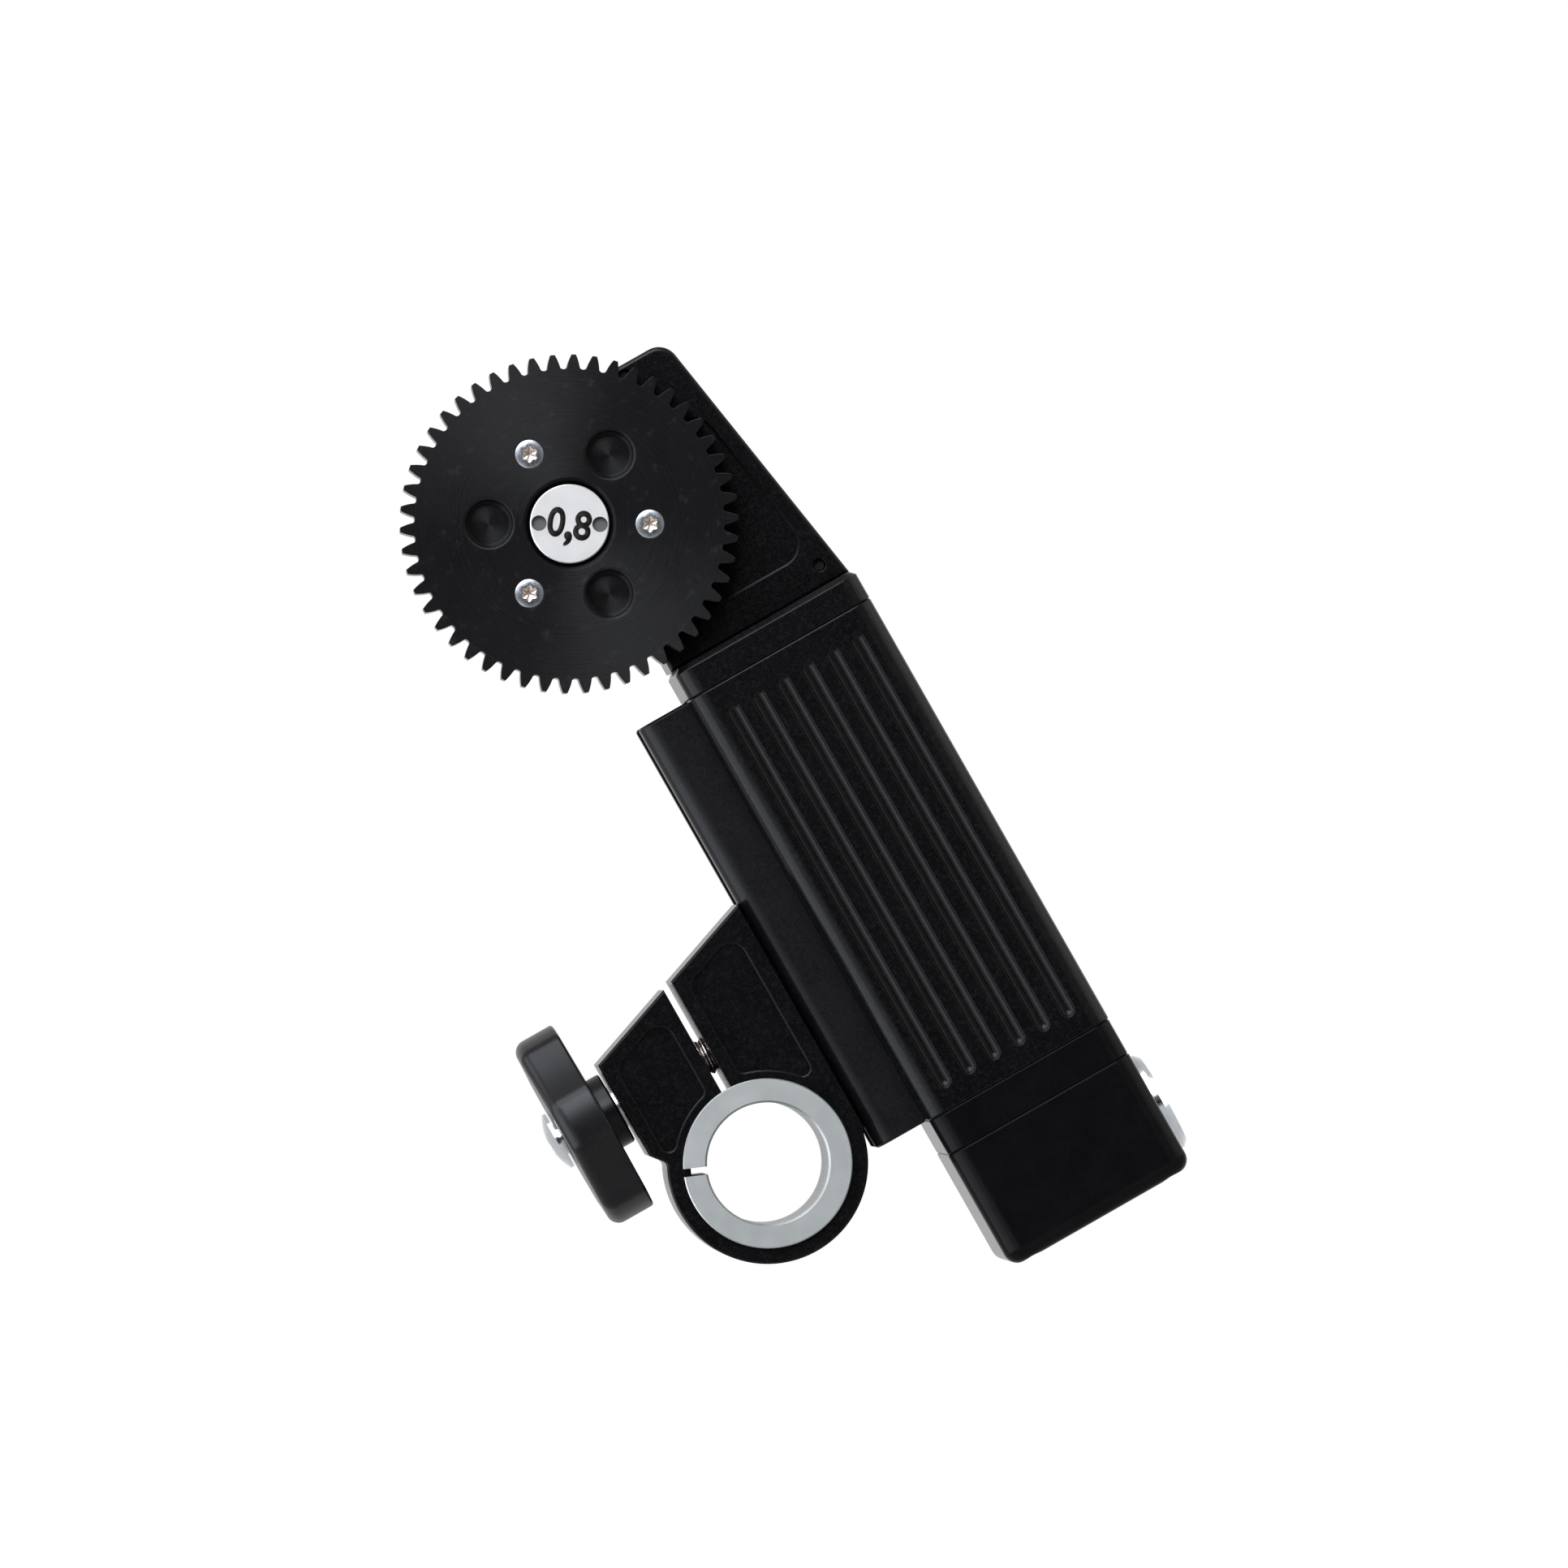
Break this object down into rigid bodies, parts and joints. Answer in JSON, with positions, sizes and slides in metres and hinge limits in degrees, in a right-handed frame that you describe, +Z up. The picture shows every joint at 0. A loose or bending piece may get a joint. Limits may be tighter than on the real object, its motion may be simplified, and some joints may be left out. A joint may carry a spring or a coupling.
{
  "type": "follow focus unit",
  "caption": "Motorised follow focus unit: a geared lens motor on a slide, clamped to a round rod by a knob.",
  "frame": {"origin": "centre of the clamp's bore for the support rod, half-way along the clamp's depth", "axes": "+Z up along the motor housing towards the drive gear, +X from the rod towards the motor, +Y along the rod, away from the gear side"},
  "size_m": [0.0688, 0.028, 0.1272],
  "materials": {
    "black_anodised_blasted": "bead-blasted, black anodised",
    "black_anodised_smooth": "smooth, black anodised",
    "black_anodised_knob": "satin, black anodised",
    "black_gear": "turned and milled, black anodised",
    "satin_aluminium": "satin",
    "silver_aluminium": "satin turned",
    "bright_nickel": "bright",
    "steel": "bare steel",
    "black_steel": "black oxide",
    "bronze": "sintered bronze",
    "gold_plate": "gold plated",
    "black_plastic": "matt",
    "green_board": "solder mask",
    "chip_black": "moulded",
    "copper_wire": "enamelled copper",
    "rotor_magnet": "nickel-plated magnet"
  },
  "bodies": {
    "clamp": {"rod_clamp": "black_anodised_blasted", "rod_insert": "satin_aluminium"},
    "knob": {"clamp_knob": "black_anodised_knob", "knob_bush": "bronze", "clamp_stud": "steel", "end_screw": "bright_nickel"},
    "nut": {"slot_nut": "steel"},
    "motor_unit": {"guide_rail": "black_anodised_blasted", "rail_screws": "steel", "slide_stops": "steel", "motor_housing": "black_anodised_blasted", "band_frame": "black_anodised_smooth", "foot_cap": "black_anodised_smooth", "base_screws": "black_steel", "top_cap": "black_anodised_blasted", "cap_screws": "black_steel", "head_screws": "black_steel", "gearbox_screws": "black_steel", "gear_head": "black_anodised_blasted", "head_cover": "black_anodised_blasted", "cover_screws": "black_steel", "front_bearing": "steel", "rear_bearing": "steel", "cross_bush_front": "bronze", "cross_bush_rear": "bronze", "pinion_bush": "bronze", "gearbox": "steel", "motor_can": "steel", "motor_end_cap": "black_plastic", "motor_winding": "copper_wire", "encoder_board": "green_board", "encoder_cover": "black_plastic", "control_board": "green_board", "board_screws": "black_steel", "board_chips": "chip_black", "socket_shell": "bright_nickel", "socket_nut": "bright_nickel", "socket_insulator": "black_plastic", "socket_contacts": "gold_plate"},
    "drive": {"drive_gear": "black_gear", "gear_screws": "steel", "gear_hub": "silver_aluminium", "hub_nut": "silver_aluminium", "drive_shaft": "steel", "output_gear": "steel", "spacer_sleeve": "steel"},
    "cross": {"cross_shaft": "steel", "cross_pinion": "steel", "bevel_wheel": "steel"},
    "output": {"output_shaft": "steel", "bevel_pinion": "steel"},
    "rotor": {"motor_rotor": "rotor_magnet", "encoder_magnet": "rotor_magnet"}
  },
  "joints": [
    {"name": "knob_turn", "type": "hinge", "parent": "clamp", "child": "knob", "pos_m": [-0.0175, 0, 0.015], "axis": [-1, 0, 0], "range_deg": [0, 225]},
    {"name": "nut_pull", "type": "slide", "parent": "clamp", "child": "nut", "axis": [1, 0, 0], "range_m": [0, 0.0005]},
    {"name": "motor_slide", "type": "slide", "parent": "clamp", "child": "motor_unit", "axis": [0, 0, 1], "range_m": [-0.024, 0.005]},
    {"name": "drive_turn", "type": "hinge", "parent": "motor_unit", "child": "drive", "pos_m": [0.0175, 0, 0.0804], "axis": [0, 1, 0], "continuous": true},
    {"name": "cross_turn", "type": "hinge", "parent": "motor_unit", "child": "cross", "pos_m": [0.03243, 0, 0.07895], "axis": [0, 1, 0], "continuous": true},
    {"name": "output_turn", "type": "hinge", "parent": "motor_unit", "child": "output", "pos_m": [0.03243, 0, 0.05], "axis": [0, 0, 1], "continuous": true},
    {"name": "rotor_turn", "type": "hinge", "parent": "motor_unit", "child": "rotor", "pos_m": [0.03243, 0, 0.02], "axis": [0, 0, 1], "continuous": true}
  ],
  "couplings": [
    {"joint": "nut_pull", "follows": "knob_turn", "m_per_rad": 0.00012732},
    {"joint": "cross_turn", "follows": "drive_turn", "ratio": -2},
    {"joint": "output_turn", "follows": "drive_turn", "ratio": -4},
    {"joint": "rotor_turn", "follows": "drive_turn", "ratio": -16}
  ]
}
